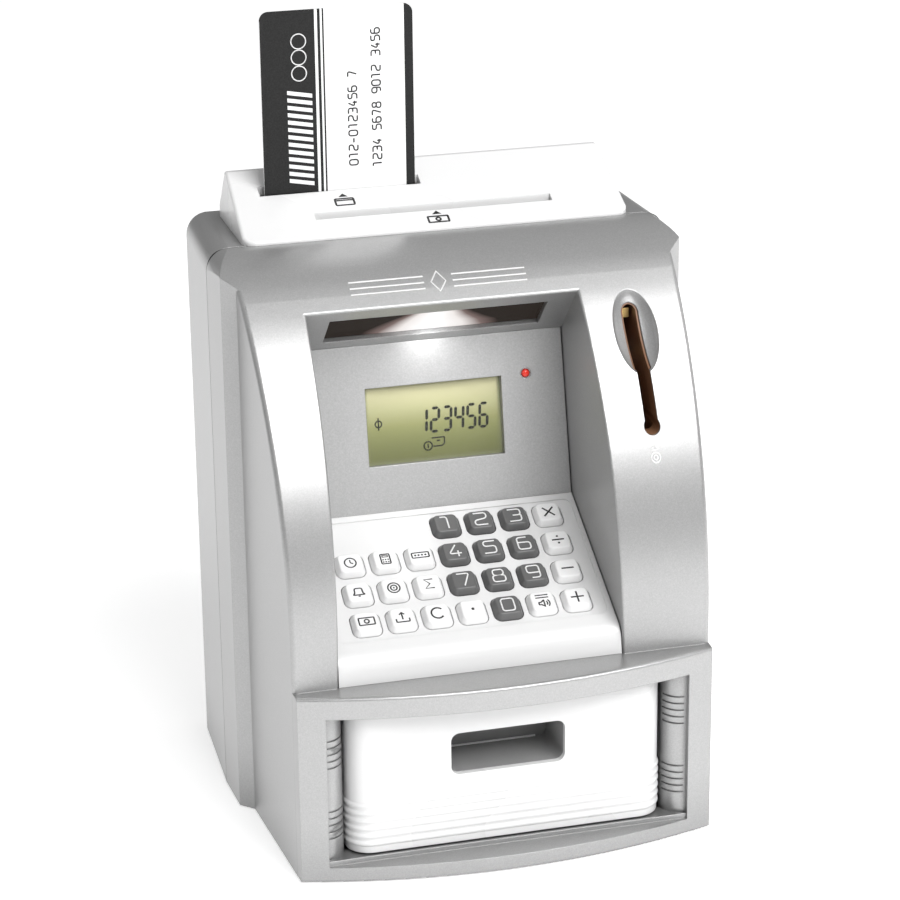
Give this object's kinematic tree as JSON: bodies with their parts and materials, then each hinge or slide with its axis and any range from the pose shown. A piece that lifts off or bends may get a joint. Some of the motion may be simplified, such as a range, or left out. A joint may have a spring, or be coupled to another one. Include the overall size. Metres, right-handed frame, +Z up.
{
  "type": "toy cash machine savings bank",
  "caption": "Toy cash machine savings bank with sloping keypad, display niche, coin slot, note and card slots in a white cap, and a front drawer.",
  "frame": {"origin": "middle of the footprint on the surface that it stands on", "axes": "+X to the object's right as seen from the front, the front faces -Y, +Z up"},
  "size_m": [0.1648, 0.149, 0.2773],
  "materials": {
    "silver_shell": "ABS with fine silver metallic paint, satin",
    "silver_panel": "ABS with fine silver metallic paint, satin",
    "silver_cover": "ABS with fine silver metallic paint, satin",
    "white_console": "white ABS, semi-gloss",
    "white_drawer": "white ABS, semi-gloss",
    "white_cap": "white ABS, semi-gloss",
    "grey_cup": "dark grey plastic",
    "clear_window": "clear acrylic window",
    "display_glass": "olive grey liquid crystal display",
    "red_lens": "red diffused lamp",
    "smoked_lens": "smoked lamp window",
    "lamp_board": "white lamp strip",
    "circuit_board": "green circuit board",
    "silicone": "silicone key mat",
    "feet_rubber": "black rubber",
    "black_plastic": "black plastic",
    "brown_plastic": "dark brown plastic",
    "nylon": "natural nylon",
    "roller_rubber": "black rubber",
    "motor_steel": "plated motor can",
    "screw_steel": "plated screw",
    "spring_steel": "spring wire",
    "brass_strip": "brass contact",
    "plated_strip": "nickel-plated contact",
    "cell_wrap": "plain battery sleeve",
    "speaker_black": "black speaker",
    "card_print": "printed plastic card",
    "dark_key": "dark grey key",
    "white_key": "white key"
  },
  "bodies": {
    "root": {"front_shell": "silver_shell", "rear_shell": "silver_shell", "display_panel": "silver_panel", "keypad_console": "white_console", "top_cap": "white_cap", "display_window": "clear_window", "display_module": "display_glass", "status_led": "red_lens", "lamp_window": "smoked_lens", "lamp_led": "lamp_board", "main_board": "circuit_board", "keypad_board": "circuit_board", "key_mat": "silicone", "rubber_feet": "feet_rubber", "card_guide": "black_plastic", "bill_guide": "black_plastic", "battery_box": "black_plastic", "coin_chute": "brown_plastic", "feed_motor": "motor_steel", "shell_screws": "screw_steel", "eject_spring": "spring_steel", "coin_contacts": "brass_strip", "battery_contacts": "plated_strip", "batteries": "cell_wrap", "speaker": "speaker_black"},
    "drawer": {"drawer_tray": "white_drawer", "drawer_pull_cup": "grey_cup"},
    "latch": {"drawer_latch": "black_plastic"},
    "card": {"bank_card": "card_print"},
    "feed": {"feed_shaft": "nylon", "feed_rollers": "roller_rubber"},
    "pinch": {"pinch_roller": "nylon"},
    "pinion": {"motor_pinion": "nylon"},
    "lever": {"coin_lever": "nylon"},
    "cover": {"battery_cover": "silver_cover"},
    "key_1_body": {"key_1": "dark_key"},
    "key_2_body": {"key_2": "dark_key"},
    "key_3_body": {"key_3": "dark_key"},
    "key_multiply_body": {"key_multiply": "white_key"},
    "key_clock_body": {"key_clock": "white_key"},
    "key_calculator_body": {"key_calculator": "white_key"},
    "key_password_body": {"key_password": "white_key"},
    "key_4_body": {"key_4": "dark_key"},
    "key_5_body": {"key_5": "dark_key"},
    "key_6_body": {"key_6": "dark_key"},
    "key_divide_body": {"key_divide": "white_key"},
    "key_alarm_body": {"key_alarm": "white_key"},
    "key_target_body": {"key_target": "white_key"},
    "key_total_body": {"key_total": "white_key"},
    "key_7_body": {"key_7": "dark_key"},
    "key_8_body": {"key_8": "dark_key"},
    "key_9_body": {"key_9": "dark_key"},
    "key_minus_body": {"key_minus": "white_key"},
    "key_notes_body": {"key_notes": "white_key"},
    "key_withdraw_body": {"key_withdraw": "white_key"},
    "key_clear_body": {"key_clear": "white_key"},
    "key_point_body": {"key_point": "white_key"},
    "key_0_body": {"key_0": "dark_key"},
    "key_equals_body": {"key_equals": "white_key"},
    "key_plus_body": {"key_plus": "white_key"}
  },
  "joints": [
    {"name": "key_1_press", "type": "slide", "parent": "root", "child": "key_1_body", "axis": [0, 0.4863, -0.8738], "range_m": [0, 0.001], "stiffness_N_per_m": 400, "springref_m": -0.0004, "deforming": ["key_mat"]},
    {"name": "key_2_press", "type": "slide", "parent": "root", "child": "key_2_body", "axis": [0, 0.4863, -0.8738], "range_m": [0, 0.001], "stiffness_N_per_m": 400, "springref_m": -0.0004},
    {"name": "key_3_press", "type": "slide", "parent": "root", "child": "key_3_body", "axis": [0, 0.4863, -0.8738], "range_m": [0, 0.001], "stiffness_N_per_m": 400, "springref_m": -0.0004},
    {"name": "key_multiply_press", "type": "slide", "parent": "root", "child": "key_multiply_body", "axis": [0, 0.4863, -0.8738], "range_m": [0, 0.001], "stiffness_N_per_m": 400, "springref_m": -0.0004},
    {"name": "key_clock_press", "type": "slide", "parent": "root", "child": "key_clock_body", "axis": [0, 0.4863, -0.8738], "range_m": [0, 0.001], "stiffness_N_per_m": 400, "springref_m": -0.0004},
    {"name": "key_calculator_press", "type": "slide", "parent": "root", "child": "key_calculator_body", "axis": [0, 0.4863, -0.8738], "range_m": [0, 0.001], "stiffness_N_per_m": 400, "springref_m": -0.0004},
    {"name": "key_password_press", "type": "slide", "parent": "root", "child": "key_password_body", "axis": [0, 0.4863, -0.8738], "range_m": [0, 0.001], "stiffness_N_per_m": 400, "springref_m": -0.0004},
    {"name": "key_4_press", "type": "slide", "parent": "root", "child": "key_4_body", "axis": [0, 0.4863, -0.8738], "range_m": [0, 0.001], "stiffness_N_per_m": 400, "springref_m": -0.0004},
    {"name": "key_5_press", "type": "slide", "parent": "root", "child": "key_5_body", "axis": [0, 0.4863, -0.8738], "range_m": [0, 0.001], "stiffness_N_per_m": 400, "springref_m": -0.0004},
    {"name": "key_6_press", "type": "slide", "parent": "root", "child": "key_6_body", "axis": [0, 0.4863, -0.8738], "range_m": [0, 0.001], "stiffness_N_per_m": 400, "springref_m": -0.0004},
    {"name": "key_divide_press", "type": "slide", "parent": "root", "child": "key_divide_body", "axis": [0, 0.4863, -0.8738], "range_m": [0, 0.001], "stiffness_N_per_m": 400, "springref_m": -0.0004},
    {"name": "key_alarm_press", "type": "slide", "parent": "root", "child": "key_alarm_body", "axis": [0, 0.4863, -0.8738], "range_m": [0, 0.001], "stiffness_N_per_m": 400, "springref_m": -0.0004},
    {"name": "key_target_press", "type": "slide", "parent": "root", "child": "key_target_body", "axis": [0, 0.4863, -0.8738], "range_m": [0, 0.001], "stiffness_N_per_m": 400, "springref_m": -0.0004},
    {"name": "key_total_press", "type": "slide", "parent": "root", "child": "key_total_body", "axis": [0, 0.4863, -0.8738], "range_m": [0, 0.001], "stiffness_N_per_m": 400, "springref_m": -0.0004},
    {"name": "key_7_press", "type": "slide", "parent": "root", "child": "key_7_body", "axis": [0, 0.4863, -0.8738], "range_m": [0, 0.001], "stiffness_N_per_m": 400, "springref_m": -0.0004},
    {"name": "key_8_press", "type": "slide", "parent": "root", "child": "key_8_body", "axis": [0, 0.4863, -0.8738], "range_m": [0, 0.001], "stiffness_N_per_m": 400, "springref_m": -0.0004},
    {"name": "key_9_press", "type": "slide", "parent": "root", "child": "key_9_body", "axis": [0, 0.4863, -0.8738], "range_m": [0, 0.001], "stiffness_N_per_m": 400, "springref_m": -0.0004},
    {"name": "key_minus_press", "type": "slide", "parent": "root", "child": "key_minus_body", "axis": [0, 0.4863, -0.8738], "range_m": [0, 0.001], "stiffness_N_per_m": 400, "springref_m": -0.0004},
    {"name": "key_notes_press", "type": "slide", "parent": "root", "child": "key_notes_body", "axis": [0, 0.4863, -0.8738], "range_m": [0, 0.001], "stiffness_N_per_m": 400, "springref_m": -0.0004},
    {"name": "key_withdraw_press", "type": "slide", "parent": "root", "child": "key_withdraw_body", "axis": [0, 0.4863, -0.8738], "range_m": [0, 0.001], "stiffness_N_per_m": 400, "springref_m": -0.0004},
    {"name": "key_clear_press", "type": "slide", "parent": "root", "child": "key_clear_body", "axis": [0, 0.4863, -0.8738], "range_m": [0, 0.001], "stiffness_N_per_m": 400, "springref_m": -0.0004},
    {"name": "key_point_press", "type": "slide", "parent": "root", "child": "key_point_body", "axis": [0, 0.4863, -0.8738], "range_m": [0, 0.001], "stiffness_N_per_m": 400, "springref_m": -0.0004},
    {"name": "key_0_press", "type": "slide", "parent": "root", "child": "key_0_body", "axis": [0, 0.4863, -0.8738], "range_m": [0, 0.001], "stiffness_N_per_m": 400, "springref_m": -0.0004},
    {"name": "key_equals_press", "type": "slide", "parent": "root", "child": "key_equals_body", "axis": [0, 0.4863, -0.8738], "range_m": [0, 0.001], "stiffness_N_per_m": 400, "springref_m": -0.0004},
    {"name": "key_plus_press", "type": "slide", "parent": "root", "child": "key_plus_body", "axis": [0, 0.4863, -0.8738], "range_m": [0, 0.001], "stiffness_N_per_m": 400, "springref_m": -0.0004},
    {"name": "drawer_slide", "type": "slide", "parent": "root", "child": "drawer", "axis": [0, -1, 0], "range_m": [0, 0.062], "deforming": ["eject_spring"]},
    {"name": "latch_pivot", "type": "hinge", "parent": "root", "child": "latch", "pos_m": [0, 0.066, 0.064], "axis": [-1, 0, 0], "range_deg": [-25, 0], "stiffness_Nm_per_rad": 0.006, "springref_deg": 8.59},
    {"name": "card_slide", "type": "slide", "parent": "root", "child": "card", "axis": [0, 0, 1], "range_m": [0, 0.03]},
    {"name": "feed_turn", "type": "hinge", "parent": "root", "child": "feed", "pos_m": [0, 0.03465, 0.165], "axis": [1, 0, 0], "continuous": true},
    {"name": "pinch_turn", "type": "hinge", "parent": "root", "child": "pinch", "pos_m": [0, 0.02485, 0.165], "axis": [1, 0, 0], "continuous": true},
    {"name": "pinion_turn", "type": "hinge", "parent": "root", "child": "pinion", "pos_m": [0.052, 0.05065, 0.165], "axis": [1, 0, 0], "continuous": true},
    {"name": "lever_pivot", "type": "hinge", "parent": "root", "child": "lever", "pos_m": [0.0572, 0.002, 0.158], "axis": [1, 0, 0], "range_deg": [0, 25], "stiffness_Nm_per_rad": 0.0008, "springref_deg": -17.19},
    {"name": "cover_hinge", "type": "hinge", "parent": "root", "child": "cover", "pos_m": [0, 0.0741, 0.0849], "axis": [-1, 0, 0], "range_deg": [0, 80]}
  ],
  "couplings": [
    {"joint": "pinch_turn", "follows": "feed_turn", "ratio": -1.375},
    {"joint": "pinion_turn", "follows": "feed_turn", "ratio": -2.2}
  ]
}
